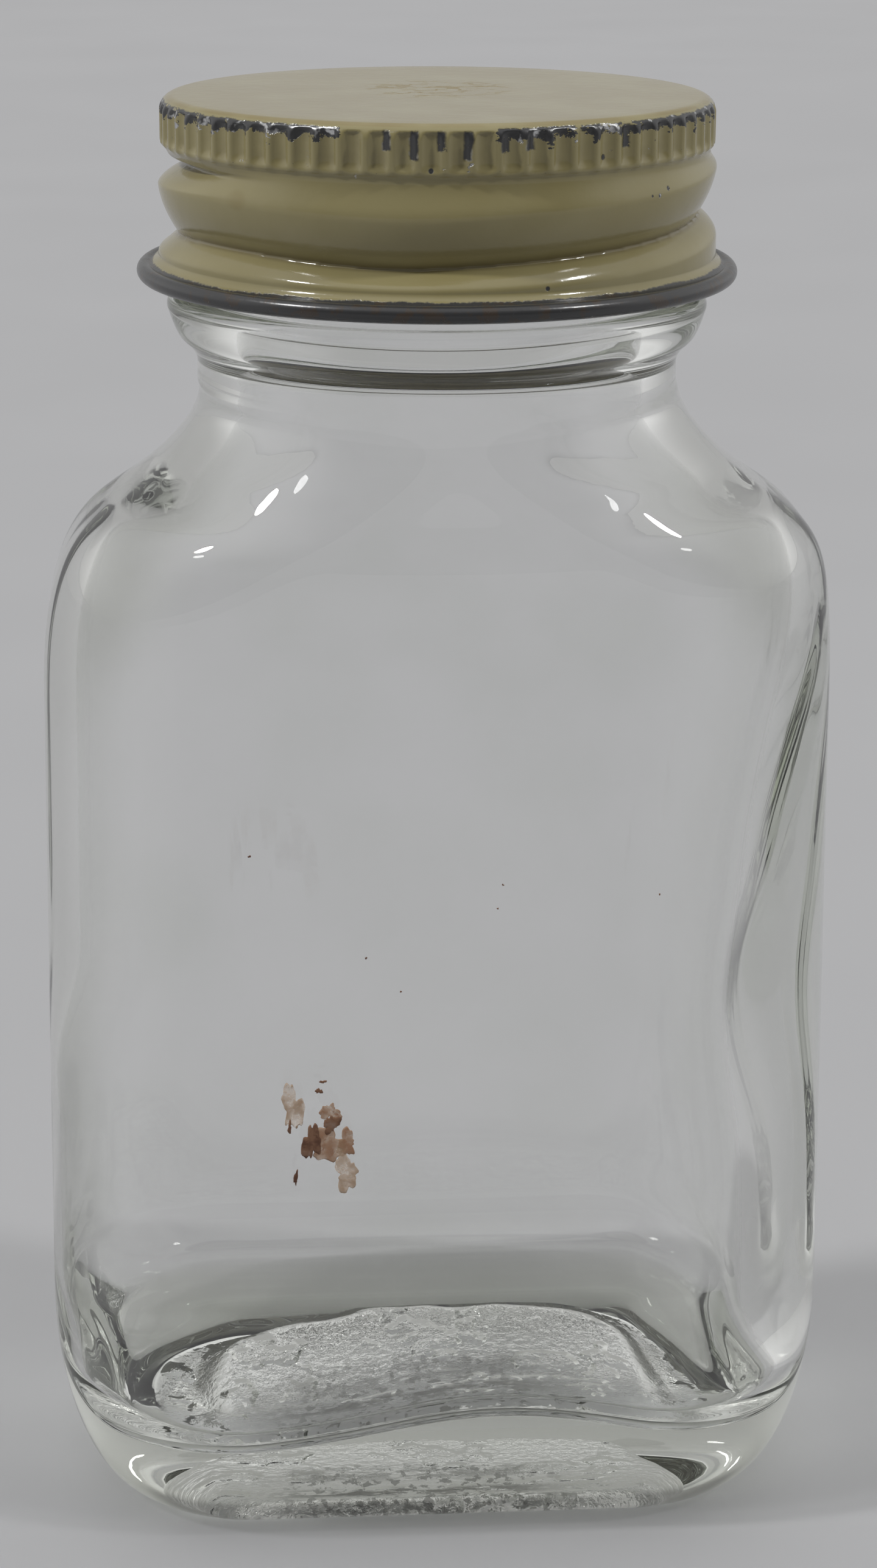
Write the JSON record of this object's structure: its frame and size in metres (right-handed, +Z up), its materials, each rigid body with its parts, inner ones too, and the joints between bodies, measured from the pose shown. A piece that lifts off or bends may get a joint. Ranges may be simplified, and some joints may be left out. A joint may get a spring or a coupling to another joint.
{
  "type": "screw-cap tablet bottle",
  "caption": "Oblong clear glass bottle with rounded shoulders and a wide round mouth, closed by a fluted pressed-metal screw cap with a liner.",
  "frame": {"origin": "middle of the base, on the surface that the bottle stands on", "axes": "+Z up along the bottle's axis, +X across the wide side, front panel facing -Y"},
  "size_m": [0.0502, 0.0366, 0.0902],
  "materials": {
    "glass": "clear polished, faint grey-green",
    "cap_enamel": "worn cream enamel on tinplate, chipped at the rim",
    "pulpboard": "matt pressed pulp",
    "waxed_facing": "waxed paper"
  },
  "bodies": {
    "bottle": {"glass_bottle": "glass"},
    "liner": {"liner_board": "pulpboard", "liner_facing": "waxed_facing"},
    "cap": {"cap_shell": "cap_enamel"}
  },
  "joints": [
    {"name": "cap_lift", "type": "slide", "parent": "bottle", "child": "liner", "axis": [0, 0, 1], "range_m": [0, 0.0106]},
    {"name": "cap_turn", "type": "hinge", "parent": "liner", "child": "cap", "pos_m": [0, 0, 0.085], "axis": [0, 0, 1], "range_deg": [0, 900]}
  ],
  "couplings": [
    {"joint": "cap_lift", "follows": "cap_turn", "m_per_rad": 0.00067376}
  ]
}
